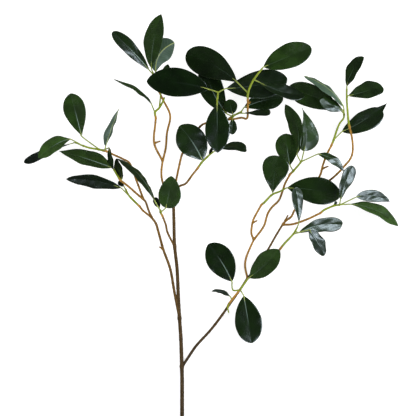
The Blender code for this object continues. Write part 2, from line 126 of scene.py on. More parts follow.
TWIGS = {
    "inner": [(-12, 319, 17.8), (-23, 341, 22), (-26, 354, 25), (-31, 367, 28)],
    "left_low": [(-49, 366, 19), (-62, 376, 18), (-67, 382, 18)],
    "left_fork": [(-49, 366, 19), (-54, 378, 21), (-58, 390, 22), (-62, 395, 23)],
    "left_tip": [(-62, 395, 23), (-72, 422, 24), (-83, 451, 27), (-94, 459, 31), (-107, 465, 36),
                 (-120, 471, 41)],
    "left_middle": [(-62, 395, 23), (-73, 404, 27), (-83, 413, 31), (-97, 424, 36)],
    "top_left": [(-14, 402, 27), (-27, 414, 30), (-32, 426, 32), (-33, 440, 34), (-31, 456, 36)],
    "top_stalk": [(-31, 456, 36), (-43, 479, 40), (-45, 494, 43), (-43, 512, 46), (-42, 523, 48)],
    "top_leaves": [(-31, 456, 36), (-26, 477, 38), (-24, 501, 39), (-19, 523, 40), (-21, 536, 41),
                   (-30, 553, 42), (-36, 566, 43)],
    "right_of_stem": [(-14, 402, 27), (-5, 415, 29), (6, 420, 31), (16, 433, 33), (24, 443, 35)],
    "middle": [(-14, 402, 27), (-10, 422, 30), (-5, 446, 34), (1, 469, 38), (14, 491, 43),
               (29, 511, 48), (40, 517, 51), (56, 520, 54), (74, 522, 56), (84, 523, 57),
               (95, 525, 58), (104, 524, 60), (105, 539, 72), (105, 552, 84)],
    "inner_right": [(105, 268, 20), (101, 288, 22), (104, 305, 24), (115, 330, 27)],
    "right_inner": [(115, 330, 27), (111, 341, 29), (113, 358, 31), (117, 368, 33), (126, 384, 36)],
    "right_middle": [(115, 330, 27), (126, 344, 27), (132, 354, 28), (137, 371, 28), (144, 382, 29),
                     (155, 393, 29), (161, 408, 31), (165, 420, 33), (172, 433, 36)],
    "right_long": [(105, 268, 20), (121, 290, 20), (137, 313, 20), (149, 334, 21), (161, 354, 24)],
    "right_low": [(161, 354, 24), (178, 355, 27), (201, 363, 32), (220, 372, 37)],
    "right_up": [(161, 354, 24), (166, 360, 26), (175, 367, 28), (180, 377, 30), (190, 391, 31),
                 (204, 411, 32)],
    "right_upper": [(204, 411, 32), (220, 431, 35), (225, 448, 38), (231, 465, 41), (238, 479, 44)],
    "right_top": [(204, 411, 32), (220, 418, 32), (236, 425, 34), (251, 438, 37), (259, 447, 39),
                  (269, 459, 43), (273, 472, 47), (272, 491, 53), (268, 508, 59)],
    "right_cross": [(105, 268, 20), (120, 277, 21), (136, 291, 23), (150, 306, 27), (157, 315, 30)],
}

NUBS = [
    [(-30, 314, 15), (-37, 319, 16)],
    [(-43, 485, 41), (-34, 488, 43)],
    [(225, 444, 37), (235, 448, 39)],
    [(113, 357, 31), (121, 361, 33)],
    [(165, 360, 26), (170, 370, 29)],
    [(105, 547, 79.5), (110, 550, 78)],
]
print("twigs:", len(TWIGS), "nubs:", len(NUBS))

# %% [markdown]
# ## The leaves, one by one
#
# A leaf is a stalk and a blade, and no two on a ficus have quite the same outline: some start with a
# long wedge and end blunt, some end in a thin drip tip. Copies of one leaf would show at once, so the
# table gives each its own numbers: the points where its stalk starts and where its blade starts and
# ends, the full width of the blade, its looks, its roll about the rib, the bend of the rib, the fold of
# its halves, the powers that shape its two ends, its twist, how much wider its right half is, and the
# share of its length that is drip tip.
#
# Leaves of one branch also differ in colour with their age and in gloss with their wax. A random draw
# would put that in the wrong places, so the looks are four numbers a leaf: how green its top is, from
# nearly black (0) to a fresh middle green (1), how clearly its paler rib shows with a painted highlight
# on it, how light its underside is, and how satin its wax is.

# %% Leaf table
def leaf(root, base, tip, width, looks, roll=0.0, bend=(0, 0, 0), fold=14.0, ends=(0.95, 0.62), twist=0.0,
         lean=0.0, drip=0.0):
    """One leaf of a spray, in millimetres and degrees."""
    return dict(root=root, base=base, tip=tip, width=width, looks=looks, roll=roll, bend=bend, fold=fold,
                ends=ends, twist=twist, lean=lean, drip=drip)


def spray(joins, shoots, *leaves):
    """A leafy shoot: the twig it joins, end to end or at a place and a way out of its side, the middle
    lines of its stems, and its leaves."""
    return dict(joins=joins, shoots=shoots, leaves=leaves)


SPRAYS = {
    "spray_left_tip": spray(
        ("left_tip",), [[(-131, 474, 44), (-148, 477, 46), (-160, 481, 46)]],
        leaf((-133, 475, 44), (-160, 495, 50), (-178, 564, 52), 37, (0.45, 0.6, 0, 0.5), 8, ends=(1.2, 0.66)),
        leaf((-160, 481, 46), (-178, 491, 48), (-230, 461, 42), 34, (1, 0.6, 0, 0.4), -44, (2, 6, 6),
             ends=(1.05, 0.8), twist=20),
        leaf((-158, 480, 46), (-171, 485, 40), (-253, 453, 0.55), 17, (0, 0.1, 0, 0.4), 34, (-2, 3, 8),
             ends=(1.9, 0.55)),
        leaf((-124, 472, 42.6), (-122, 480, 48), (-100, 540, 66), 30, (0.2, 0.1, 0.5, 0.6), 112, (-2, -2, 0),
             ends=(0.8, 1.2)),
        leaf((-126, 473, 43), (-117, 477, 52), (-110, 443, 62), 24, (0.1, 0.2, 0, 0.4), -66, (0, 0, 6),
             ends=(0.8, 0.7)),
    ),
    "spray_left_middle": spray(
        ("left_middle",), [[(-103, 432, 38), (-110, 444, 40)]],
        leaf((-108, 441, 39.7), (-112, 445, 40), (-197, 472, 14), 36, (0.65, 0.9, 0, 0.4), -42, (2, 1, 4), 18,
             ends=(0.9, 1.1)),
        leaf((-100, 428, 37), (-96, 427, 38.5), (-105, 460, 44), 21, (0.1, 0.1, 0, 0.4), 52, ends=(0.8, 0.8)),
    ),
    "spray_left_low": spray(
        ("left_low",), [[(-79, 394, 17), (-86, 402, 17), (-91, 412, 17)]],
        leaf((-82, 397, 17), (-98, 413, 19), (-186, 427, 16), 33, (0.05, 0.05, 0, 0.3), 50, (0, 5, 2),
             ends=(0.8, 0.8)),
        leaf((-90, 410, 17), (-93, 415, 18), (-102, 424, 20), 9, (0, 0, 0, 0.2), 20),
    ),
    "spray_inner": spray(
        ("inner",), [[(-34, 373, 31), (-35, 379, 34)]],
        leaf((-34, 374, 31.5), (-26, 381, 40), (-17, 432, 56), 38, (0.5, 0.1, 0, 0.5), 10, (1, 0, 0),
             ends=(0.52, 0.72), lean=0.12),
        leaf((-34, 375, 32), (-43, 391, 44), (-104, 460, 64), 25, (0.35, 0.6, 0, 0.8), 62, (6, 7, 5),
             ends=(0.9, 0.8)),
        leaf((-35, 377, 33), (-36, 380, 35), (-43, 398, 37), 13, (0, 0, 0, 0.2), 30),
    ),
    "spray_top_stalk": spray(
        ("top_stalk",),
        [[(-43, 534, 51), (-36, 541, 53), (-30, 552, 55), (-28, 558, 56)],
         [(-36, 541, 53), (-35, 552, 57), (-34, 563, 59)]],
        leaf((-43, 533, 50.6), (-49, 547, 56), (-109, 586, 60), 22, (0.6, 0.1, 0, 0.6), 74, (9, 3, 4),
             ends=(0.8, 0.8)),
        leaf((-34, 561, 58.8), (-33, 566, 60), (-22, 610, 66), 16, (0.25, 0.2, 0, 0.2), 20),
    ),
    "spray_top_left": spray(
        ("top_leaves",), [[(-39, 577, 44), (-44, 588, 45), (-46, 596, 46)]],
        leaf((-45, 593, 45.6), (-52, 601, 47), (-111, 662, 58), 25, (0.15, 0.9, 0.1, 0.5), -26, (1, 1, 5), 12,
             ends=(0.9, 0.5)),
        leaf((-46, 596, 46), (-49, 604, 50), (-33, 690, 68), 35, (0.45, 0.2, 0, 0.4), 28, (-4, 0, 4),
             ends=(0.95, 0.8)),
        leaf((-45, 592, 45.5), (-42, 598, 48), (-12, 645, 50), 38, (0.5, 0.7, 0.4, 0.4), 168, (-9, 5, 4), 12),
    ),
    "spray_right_of_stem": spray(
        ("right_of_stem",), [[(31, 453, 38), (41, 463, 40), (50, 471, 42)]],
        leaf((31, 453, 38), (33, 457, 42), (-4, 512, 64), 49, (0.2, 0.9, 0, 0.3), 6, (2, 2, 4),
             ends=(0.85, 0.68)),
        leaf((49, 470, 41.8), (57, 474, 42), (103, 475, 40), 26, (0.15, 0.1, 0, 0.7), 52, (0, 4, 4),
             ends=(1, 0.32)),
        leaf((40, 462, 39.8), (43, 466, 41), (49, 477, 44), 6, (0, 0, 0, 0.2), 30),
    ),
    "spray_fork": spray(
        ("middle", (56, 520, 54), (0, 0.25, 1)),
        [[(56, 528, 67), (56, 546, 84), (57, 558, 92), (58, 566, 95)]],
        leaf((58, 565, 94.6), (42, 570, 95), (-56, 582, 92), 48, (0.04, 0.03, 0, 0.1), -6, (2, 4, 3),
             ends=(0.85, 0.7)),
        leaf((58, 565, 94.6), (70, 571, 90), (168, 588, 62), 46, (0.1, 0.1, 0, 0.1), 4, (0, -3, -2), 8),
        leaf((56, 552, 88), (56, 545, 86), (57, 469, 68), 41, (0.1, 0.15, 0, 0.1), 4, (0, 0, 5),
             ends=(0.85, 0.78)),
    ),
    "spray_crown_low": spray(
        ("middle", (76, 522, 56.2), (0.1, 0.5, 1)),
        [[(79, 526, 62), (84, 529, 63), (90, 532, 64), (96, 535, 64)]],
        leaf((81, 527, 62.4), (72, 531, 65), (37, 606, 48), 40, (0.1, 0.5, 0, 0.2), 0, (-5, -2, 0)),
        leaf((82, 528, 62.6), (81, 531, 65), (75, 554, 71), 23, (0.2, 0.1, 0, 0.3), 12, ends=(0.7, 0.55)),
        leaf((81, 527, 62.4), (81, 523, 65), (80, 498, 63), 16, (0.2, 0.1, 0, 0.3), 24, ends=(0.8, 0.6)),
        leaf((90, 532, 64), (97, 532, 79), (141, 532, 86), 18, (0.1, 0.1, 0, 0.6), 50, ends=(1.2, 0.32)),
        leaf((95, 535, 64), (99, 541, 60), (162, 556, 46), 34, (0.15, 0.3, 0, 0.2), 8, (0, 4, 0)),
    ),
    "spray_crown": spray(
        ("middle",), [[(105, 562, 94), (108, 572, 99), (115, 586, 101), (128, 603, 101)]],
        leaf((105, 564, 95), (88, 581, 95), (6, 626, 46), 48, (0.12, 0.05, 0, 0.1), 6, (5, 4, -8),
             ends=(1, 0.52)),
        leaf((127, 602, 101), (130, 605, 101), (206, 636, 92), 42, (0.4, 0.05, 0, 0.1), 12, (-1, 0, 5),
             ends=(0.8, 0.58)),
        leaf((114, 585, 100.7), (121, 582, 101), (192, 564, 78), 33, (0.12, 0.2, 0, 0.7), 46, (6, -8, 8), 12,
             ends=(0.95, 0.5)),
    ),
    "spray_right_upper": spray(
        ("right_upper",), [[(243, 491, 47), (247, 504, 51), (252, 516, 55), (258, 524, 58), (259, 532, 60)]],
        leaf((259, 531, 59.8), (254, 536, 60), (169, 571, 46), 40, (0.35, 0.05, 0, 0.1), 16, (0, 5, 4)),
        leaf((259, 531, 59.8), (258, 542, 64), (195, 591, 72), 32, (0.3, 0.2, 0.9, 0.7), 112, (6, 5, 5),
             ends=(0.9, 0.7)),
        leaf((259, 530, 59.5), (257, 537, 62), (220, 552, 80), 24, (0.3, 0.2, 0, 0.8), -27, (0, 0, 1), 6),
        leaf((243, 490, 46.7), (256, 503, 44), (329, 549, 0.45), 38, (0.12, 0.1, 0, 0.1), 24, (2, -3, 7),
             ends=(0.75, 0.5), lean=0.18, drip=0.17),
    ),
    "spray_right_top": spray(
        ("right_top",), [[(266, 518, 62), (265, 528, 64), (263, 554, 68), (263, 571, 70)]],
        leaf((263, 570, 70), (263, 575, 72), (290, 621, 92), 30, (0.25, 0.1, 0, 0.1), 48, (-4, 2, 2),
             ends=(0.9, 0.7)),
        leaf((263, 554, 68), (265, 560, 70), (320, 575, 56), 36, (0.25, 0.1, 0, 0.1), 38, (0, -1, 4),
             ends=(0.95, 0.5)),
    ),
    "spray_right_middle": spray(
        ("right_middle",), [[(180, 442, 39), (191, 455, 43)]],
        leaf((190, 454, 42.6), (184, 466, 48), (165, 546, 66), 38, (0.4, 0.15, 0, 0.1), 54, (10, 2, 3),
             ends=(0.95, 0.7)),
        leaf((191, 455, 43), (195, 472, 48), (192, 540, 74), 33, (0.5, 0.1, 0, 0.5), -27, (5, -2, 4),
             ends=(0.55, 1.35), lean=0.3),
        leaf((178, 440, 38.4), (173, 449, 38), (166, 500, 36), 38, (0.45, 0.4, 0, 0.2), 0, (-1, 0, 2)),
        leaf((191, 455, 43), (217, 467, 60), (259, 439, 54), 17, (0.3, 0.3, 0, 0.8), 38, (3, 5, 3), 6,
             ends=(0.8, 0.9)),
    ),
    "spray_right_inner": spray(
        ("right_inner",), [[(132, 390, 39), (144, 402, 43), (156, 407, 46), (165, 412, 48)]],
        leaf((143, 401, 42.7), (145, 403, 45), (154, 464, 58), 44, (0.3, 0.08, 0, 0.4), 0, (-2, 0, 4),
             ends=(1.4, 0.55)),
        leaf((164, 411.6, 47.8), (168, 413, 49), (254, 400, 42), 45, (0.18, 0.05, 0, 0.1), 0, (0, 3, 5),
             ends=(0.95, 0.68)),
    ),
    "spray_right_low": spray(
        ("right_low",), [[(228, 378, 41), (242, 384, 45), (253, 386, 48)]],
        leaf((252, 386, 47.8), (253, 392, 52), (273, 448, 70), 28, (0.2, 0.3, 0, 0.7), -41, (-2, 2, 4), 8,
             ends=(1.15, 0.52)),
        leaf((253, 386, 48), (278, 398, 58), (332, 391, 52), 25, (0.25, 0.2, 0, 0.9), -38, (0, 6, 3), 6,
             ends=(0.8, 0.9)),
        leaf((252, 386, 47.8), (268, 387, 46), (347, 352, 12), 34, (1, 0.2, 0, 0.4), 55, (4, 7, 5), 9,
             ends=(1.1, 0.85)),
        leaf((241, 383.5, 44.7), (243, 386, 43), (248, 391, 40), 5, (0.4, 0, 0, 0.3)),
    ),
    "spray_right_cross": spray(
        ("right_cross",), [[(165, 325, 34), (178, 339, 39), (184, 349, 42)]],
        leaf((184, 349, 42), (187, 357, 48), (180, 413, 74), 24, (0.25, 0.4, 0, 0.7), -38, (2, 2, 3), 7,
             ends=(1.2, 0.5)),
        leaf((181, 344, 40.5), (187, 341, 44), (256, 353, 46), 32, (0.35, 0.8, 0, 0.7), -42, (0, 7, 3), 8,
             ends=(0.8, 0.36)),
        leaf((178, 339, 39), (203, 346, 56), (228, 305, 46), 28, (0.15, 0.6, 0, 0.7), 40, (0, 2, 4), 10,
             ends=(0.8, 0.6)),
    ),
    "spray_right_base": spray(
        ("branch", (74, 223, 13.5), (0, 0.1, 1)),
        [[(75, 227, 19), (84, 239, 21), (92, 249, 23), (105, 267, 26)],
         [(92, 249, 23), (82, 249, 24), (80, 256, 25), (80, 260, 26)],
         [(76, 228, 19.2), (73, 222, 19), (75, 212, 17)]],
        leaf((104, 266, 25.8), (107, 269, 28), (156, 314, 52), 38, (0.5, 0.1, 0, 0.4), 20, (1, -2, 3),
             ends=(0.9, 0.7)),
        leaf((80, 260, 26), (80, 263, 27), (42, 323, 32), 45, (0.1, 0.6, 0, 0.2), 0, (2, 2, 4),
             ends=(0.85, 0.68)),
        leaf((93, 250, 23), (99, 240, 25), (112, 164, 12), 45, (0.12, 0.4, 0, 0.2), 4, (0, 0, 5),
             ends=(0.85, 0.66)),
        leaf((80, 234, 20), (77, 239, 23), (47, 247, 24), 13, (0.2, 0.1, 0, 0.8), 56, (0, 5, 3),
             ends=(0.8, 0.9)),
    ),
}
print("sprays:", len(SPRAYS), "leaves:", sum(len(plan["leaves"]) for plan in SPRAYS.values()))

# %% [markdown]
# ## One skin from many grids
#
# Stems are round and blades are flat, but both are closed skins that can be laid out as a grid of
# points in rows. Writing the whole array into a mesh at once is faster and more exact than modelling
# with operators, and each point can carry numbers for its material, such as its distance from the rib.

# %% Grids into a mesh
def ring_faces(rows, columns):
    """Quads of a tube whose rows are closed rings: each point, its neighbour round the ring and
    the same two points on the next ring."""
    row, column = np.meshgrid(np.arange(rows - 1), np.arange(columns), indexing="ij")
    here, beside = row * columns + column, row * columns + (column + 1) % columns
    return np.stack([here, beside, beside + columns, here + columns], axis=-1).reshape(-1, 4)


def make_piece(name, parts, material, node):
    """One mesh object from a list of (points in mm, faces, {attribute: values}), standing for a CAD node."""
    points = np.vstack([part[0] for part in parts])
    starts = np.cumsum([0] + [len(part[0]) for part in parts])
    faces = [tuple(index + start for index in face)
             for part, start in zip(parts, starts) for face in part[1]]
    mesh = bpy.data.meshes.new(name)
    mesh.from_pydata(to_metres(points).tolist(), [], faces)
    for attribute in parts[0][2]:
        values = np.vstack([part[2][attribute] for part in parts]).astype(np.float32)
        mesh.attributes.new(attribute, "FLOAT_VECTOR", "POINT").data.foreach_set("vector", values.ravel())
    mesh.polygons.foreach_set("use_smooth", np.ones(len(mesh.polygons), dtype=bool))
    mesh.materials.append(material)
    piece = add_object(name, mesh)
    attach(piece, "root")
    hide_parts(node)
    return piece


# %% [markdown]
# ## Round stems along a route
#
# A stem grows as a smooth line with a slight kink at each node, where a leaf once sat. A bevelled curve
# object could follow it, but it would carry no numbers for the bark. A smooth cubic line through the
# route's points passes every measured place. A ring of points is then carried along it without
# twisting, with its own radius at each step, so rings, collars and rounded ends need no extra pieces.

# %% Smooth routes and carried rings
def smooth_route(route, steps=6):
    """A line through every point of a route: between two points a cubic whose slope at each of them
    is half the step between that point's neighbours."""
    route = np.asarray(route, float)
    held = np.vstack([2 * route[0] - route[1], route, 2 * route[-1] - route[-2]])
    before, start, end, after = held[:-3], held[1:-2], held[2:-1], held[3:]
    share = np.linspace(0, 1, steps, endpoint=False)[:, None, None]
    spans = 0.5 * (2 * start + (end - before) * share
                   + (2 * before - 5 * start + 4 * end - after) * share ** 2
                   + (3 * start - before - 3 * end + after) * share ** 3)
    return np.vstack([spans.transpose(1, 0, 2).reshape(-1, 3), route[-1]])


def distances(line):
    """Distance along a line at each of its points."""
    return np.concatenate([[0.0], np.cumsum(np.linalg.norm(np.diff(line, axis=0), axis=1))])


def resample(line, step):
    """The same line with points an even step apart."""
    run = distances(line)
    places = np.linspace(0, run[-1], max(int(round(run[-1] / step)), 2) + 1)
    return np.stack([np.interp(places, run, line[:, axis]) for axis in range(3)], axis=1)


def carried_sides(line):
    """Tangent, sideways and upward unit vectors at each point. The sideways vector starts level and
    keeps what it can of itself from one point to the next, so the tube doesn't twist."""
    tangents = unit(np.gradient(line, axis=0))
    side = np.cross(tangents[0], (0, 0, 1) if abs(tangents[0][2]) < 0.95 else (0, -1, 0))
    sides = []
    for tangent in tangents:
        side = side - tangent * side.dot(tangent)
        side = side / np.linalg.norm(side)
        sides.append(side)
    sides = np.array(sides)
    return tangents, sides, np.cross(sides, tangents)


def stem_tube(line, radii, around=14, floor=None, **looks):
    """A closed tube: at each point of the line a circle, point + radius (side cos a + up sin a), and
    one flat face over each end. Where a floor is given, what would be below it is flattened on it."""
    tangents, sides, ups = carried_sides(line)
    turns = np.pi - np.arange(around) * 2 * np.pi / around
    radii = np.broadcast_to(np.asarray(radii, float), (len(line),))
    circle = sides[:, None] * np.cos(turns)[None, :, None] + ups[:, None] * np.sin(turns)[None, :, None]
    points = line[:, None] + circle * radii[:, None, None]
    if floor is not None:
        points[..., 2] = np.maximum(points[..., 2], floor)
    run = distances(line)
    grain = np.stack(np.broadcast_arrays(run[:, None], radii[:, None] * np.cos(turns),
                                         radii[:, None] * np.sin(turns)), axis=-1)
    faces = [tuple(face) for face in ring_faces(len(line), around).tolist()]
    last = (len(line) - 1) * around
    faces += [tuple(range(around))[::-1], tuple(range(last, last + around))]
    values = {"grain": grain.reshape(-1, 3)}
    for name, rows in looks.items():
        rows = np.broadcast_to(np.asarray(rows, float), (len(line), 3))
        values[name] = np.repeat(rows, around, axis=0)
    return points.reshape(-1, 3), faces, values


def rounded_end(run, radius):
    """Share of a stem's radius near its end, where it closes as a half ball: the square root of
    1 - (1 - distance / radius) squared, with the distance held between nothing and the radius."""
    left = np.clip((run[-1] - run) / radius, 0.0, 1.0)
    return np.sqrt(np.maximum(1 - (1 - left) ** 2, 0.01))


# %% [markdown]
# ## A ficus blade
#
# The blade widens quickly from its stalk, is widest past its middle and ends in a small point. Its two
# halves rise from the rib like an open book, their edges turn down a little and wave, and the blade
# swells and sinks slowly, which breaks up its sheen. A flat card with a picture would lose that, and a
# cloth simulation would hide it in chance, so each blade is a formula on a grid: one row per step along
# the rib and one column per step across, first over the top and then back along the underside, which
# makes it one closed skin.

# %% Blade formula
BLADE_ROWS = 56
BLADE_COLUMNS = 25
DRIP_WIDTH = 0.3
CURL, WAVE = 0.35, 0.03
RELIEF, SATIN_RELIEF, PLAIN_SATIN = 0.07, 0.8, 0.55
RIB_WIDTH, RIB_GROOVE, RIB_SWELLING = 0.75, 0.3, 0.75
HALF_THICKNESS, EDGE_THINNING = 0.28, 0.14
LOWEST = 0.05
chance = np.random.default_rng(7)


def blade_outline(along, shape):
    """Half width of a blade as a share of its widest: a power of the distance from the base times a
    power of the distance to the tip, scaled to reach 1. A drip tip is a thin point after that."""
    rise, fall = shape["ends"]
    widest = rise / (rise + fall)
    body = np.minimum(along / (1 - shape["drip"]), 1.0)
    width = (body / widest) ** rise * ((1 - body) / (1 - widest)) ** fall
    if shape["drip"]:
        point = np.minimum((1 - along) / shape["drip"], 1.0) * np.minimum(2 * along, 1.0)
        width = np.maximum(width, DRIP_WIDTH * point)
    return width


def rib_line(shape, along):
    """The rib: a bent line from the blade's base to its tip, and its direction at each share of the way."""
    base, tip, bend = (np.array(shape[key], float) for key in ("base", "tip", "bend"))
    pull = (base + tip) / 2 + 2 * bend
    along = along[:, None]
    line = base * (1 - along) ** 2 + pull * 2 * along * (1 - along) + tip * along ** 2
    return line, unit((pull - base) * (1 - along) + (tip - pull) * along)


def blade_sides(shape, tangents, along):
    """Sideways and upward unit vectors of a blade: level, then turned about the rib by the roll and
    by a share of the twist that grows from base to tip."""
    level = unit(np.cross(tangents, (0.0, 0.0, 1.0)))
    turn = np.radians(shape["roll"] + shape["twist"] * (along - 0.5))[:, None]
    side = level * np.cos(turn) + np.cross(level, tangents) * np.sin(turn)
    return side, np.cross(side, tangents)


def leaf_blade(shape):
    """A blade as a grid. Across, v runs from -1 at the left edge to 1 at the right edge.
    Place = rib + side v w cos(fold) + up (w sin(fold) lift(v) + wave), with w the half width,
    lift(v) = a soft |v| less CURL times |v| cubed, and wave a slow ripple that grows to the edge plus
    three slow sine waves all over the blade, higher on a very satin leaf. The top sinks into a groove
    over the rib and the underside swells round it."""
    green, rib_and_highlight, pale, satin = shape["looks"]
    along = 0.5 - 0.5 * np.cos(np.pi * np.linspace(0.0, 1.0, BLADE_ROWS))
    line, tangents = rib_line(shape, along)
    side, up = blade_sides(shape, tangents, along)
    spread = np.linspace(-1.0, 1.0, BLADE_COLUMNS)
    v = (np.sign(spread) * np.abs(spread) ** 1.35)[None, :]
    half = (shape["width"] / 2 * blade_outline(along, shape))[:, None]
    half = np.maximum(half * (1 + shape["lean"] * np.sign(v)), 0.5)
    fold = math.radians(shape["fold"])
    length = np.linalg.norm(np.diff(line, axis=0), axis=1).sum()
    lift = np.sqrt(v ** 2 + 0.003) - 0.05 - CURL * np.abs(v) ** 3
    phases = chance.uniform(0, 2 * np.pi, 2)
    column = along[:, None]
    ripple = np.where(v < 0, np.sin(column * 15 + phases[0]), np.sin(column * 13 + phases[1]))
    wave = WAVE * shape["width"] * ripple * np.abs(v) ** 2 * (4 * along * (1 - along))[:, None]
    across = v * half
    tilts, starts = chance.uniform(0.12, 0.42, (3, 2)), chance.uniform(0, 2 * np.pi, 3)
    swell = RELIEF + SATIN_RELIEF * max(satin - PLAIN_SATIN, 0.0) * np.minimum(4 * along, 1.0)[:, None]
    for (lengthwise, sideways), start in zip(tilts, starts):
        wave = wave + swell * np.sin(lengthwise * length * column + sideways * across + start)
    height = half * math.sin(fold) * lift + wave
    rib = np.exp(-(across / RIB_WIDTH) ** 2) * (1 - 0.7 * column)
    middle = line[:, None] + side[:, None] * (across * math.cos(fold))[..., None]
    thickness = HALF_THICKNESS - EDGE_THINNING * v ** 2
    top = middle + up[:, None] * (height + thickness - RIB_GROOVE * rib)[..., None]
    under = middle + up[:, None] * (height - thickness - RIB_SWELLING * rib)[..., None]
    points = np.concatenate([top, under[:, ::-1]], axis=1)
    points[..., 2] = np.maximum(points[..., 2], LOWEST)
    across = np.concatenate([across, across[:, ::-1]], axis=1)
    rows, columns = points.shape[:2]
    underside = (np.arange(columns) >= BLADE_COLUMNS)[None, :] * 1.0
    edge = np.abs(np.concatenate([v, v[:, ::-1]], axis=1)) + 0 * across
    values = {
        "blade": ((along * length)[:, None], across, column),
        "looks": (underside, green + 0 * across, rib_and_highlight),
        "rim": (edge, chance.random(), pale),
        "wax": (satin + 0 * across, 0.0, 0.0),
    }
    faces = ring_faces(rows, columns).tolist()
    near = np.arange(BLADE_COLUMNS - 1)
    far = columns - 1 - near
    cap = np.stack([near, far, far - 1, near + 1], axis=1)
    faces += cap.tolist() + (cap[:, ::-1] + (rows - 1) * columns).tolist()
    values = {name: np.stack(np.broadcast_arrays(*value), axis=-1).reshape(-1, 3)
              for name, value in values.items()}
    return points.reshape(-1, 3), faces, values


# %% [markdown]
# ## Wiring materials
#
# Each finish is a tree of nodes that reads the numbers stored with the points. Wiring them one by one
# would bury what a finish is, so small helpers keep the trees readable: they add a node, a sum, a soft
# step between two values, a blend of two colours, a noise, or the bump under it.

# %% Helpers for material trees
def join(tree, value, socket):
    """A number written into a socket, or a link from another node's output to it."""
    if isinstance(value, bpy.types.NodeSocket):
        tree.links.new(value, socket)
    else:
        socket.default_value = value


def add_node(tree, kind, inputs=(), **settings):
    """A node with its settings, and its inputs set to numbers or joined to other nodes' outputs."""
    node = tree.nodes.new(kind)
    for name, value in settings.items():
        setattr(node, name, value)
    for name, value in dict(inputs).items():
        join(tree, value, node.inputs[name])
    return node


def maths(tree, operation, *values):
    """One arithmetic step on numbers or sockets."""
    return add_node(tree, "ShaderNodeMath", dict(enumerate(values)), operation=operation).outputs[0]


def soft_step(tree, value, low, high, start=0.0, end=1.0):
    """A value that goes smoothly from start to end while another goes from low to high."""
    inputs = {"Value": value, "From Min": low, "From Max": high, "To Min": start, "To Max": end}
    return add_node(tree, "ShaderNodeMapRange", inputs, interpolation_type="SMOOTHSTEP").outputs["Result"]


def blend_colours(tree, share, *colours):
    """One colour that goes over into another."""
    first, second = ((*value, 1.0) if isinstance(value, tuple) else value for value in colours)
    inputs = {0: share, 6: first, 7: second}
    return add_node(tree, "ShaderNodeMix", inputs, data_type="RGBA").outputs[2]


def stored(tree, name):
    """The three numbers that the points carry under a name."""
    attribute = add_node(tree, "ShaderNodeAttribute", attribute_name=name)
    parts = add_node(tree, "ShaderNodeSeparateXYZ", {"Vector": attribute.outputs["Vector"]})
    return attribute.outputs["Vector"], parts.outputs[0], parts.outputs[1], parts.outputs[2]


def speckle(tree, place, scale, detail=2.0):
    """Soft noise between 0 and 1."""
    inputs = {"Vector": place, "Scale": scale, "Detail": detail}
    return add_node(tree, "ShaderNodeTexNoise", inputs).outputs["Fac"]


def grain_speckle(tree, squeeze, scale, detail):
    """Soft noise drawn out along a stem: its lengthwise place is multiplied by a small squeeze."""
    inputs = {0: stored(tree, "grain")[0], 1: (squeeze, 1.0, 1.0)}
    place = add_node(tree, "ShaderNodeVectorMath", inputs, operation="MULTIPLY").outputs[0]
    return speckle(tree, place, scale, detail)


def object_place(tree):
    """The place on the piece, in metres."""
    return add_node(tree, "ShaderNodeTexCoord").outputs["Object"]


def bump(tree, height, strength, distance):
    """Fine relief: a height from 0 to 1 stands for a distance in metres."""
    inputs = {"Strength": strength, "Distance": distance, "Height": height}
    return add_node(tree, "ShaderNodeBump", inputs).outputs["Normal"]


def open_material(name):
    """A new material, its tree and its Principled shader."""
    material = bpy.data.materials.new(name)
    material.use_nodes = True
    return material, material.node_tree, material.node_tree.nodes["Principled BSDF"]


def finish_shader(tree, shader, **sockets):
    """Numbers and sockets into the shader, by the sockets' names with underscores for spaces."""
    for name, value in sockets.items():
        join(tree, value, shader.inputs[name.replace("_", " ")])


# %% [markdown]
# ## Veins of a ficus leaf
#
# A ficus leaf has one strong rib and many fine side veins, close together, that leave it at a wide
# angle and run almost straight to the edge. Drawing them on an image would fix their width, so they are
# computed from the place on the blade: the distance along the rib less a part of the distance from
# it is the same all along one vein, and a saw wave of that sum gives a vein every few millimetres. This
# is a group because both faces of the leaf use it.

# %% Vein group
RIB_CORE, RIB_EDGE = 0.35, 1.0
VEIN_SLANT = -0.42
MAIN_VEIN_SPACING, FINE_VEIN_SPACING = 4.6, 1.53


def vein_group():
    """Masks of the rib and the side veins, and their height, from places on the blade in mm."""
    group = bpy.data.node_groups.new("leaf_veins", "ShaderNodeTree")
    for way, names in (("INPUT", ("Along", "Across", "Wander")), ("OUTPUT", ("Rib", "Side veins", "Height"))):
        for name in names:
            group.interface.new_socket(name, in_out=way, socket_type="NodeSocketFloat")
    given = group.nodes.new("NodeGroupInput").outputs
    result = group.nodes.new("NodeGroupOutput")
    aside = maths(group, "ABSOLUTE", given["Across"])
    rib = soft_step(group, aside, RIB_CORE, RIB_EDGE, 1.0, 0.0)
    reach = maths(group, "ADD", maths(group, "MULTIPLY", aside, VEIN_SLANT), given["Along"])
    reach = maths(group, "ADD", reach, given["Wander"])
    veins = []
    for spacing, width in ((MAIN_VEIN_SPACING, 0.10), (FINE_VEIN_SPACING, 0.2)):
        wave = maths(group, "FRACT", maths(group, "DIVIDE", reach, spacing))
        off = maths(group, "ABSOLUTE", maths(group, "SUBTRACT", wave, 0.5))
        veins.append(soft_step(group, off, 0.0, width, 1.0, 0.0))
    fine = maths(group, "MULTIPLY", veins[1], 0.35)
    side = maths(group, "MAXIMUM", veins[0], fine)
    height = maths(group, "SUBTRACT", maths(group, "MULTIPLY", rib, 0.4), maths(group, "MULTIPLY", side, 0.6))
    for name, value in (("Rib", rib), ("Side veins", side), ("Height", height)):
        group.links.new(value, result.inputs[name])
    return group


LEAF_VEINS = vein_group()
print("vein group sockets:", [item.name for item in LEAF_VEINS.interface.items_tree])
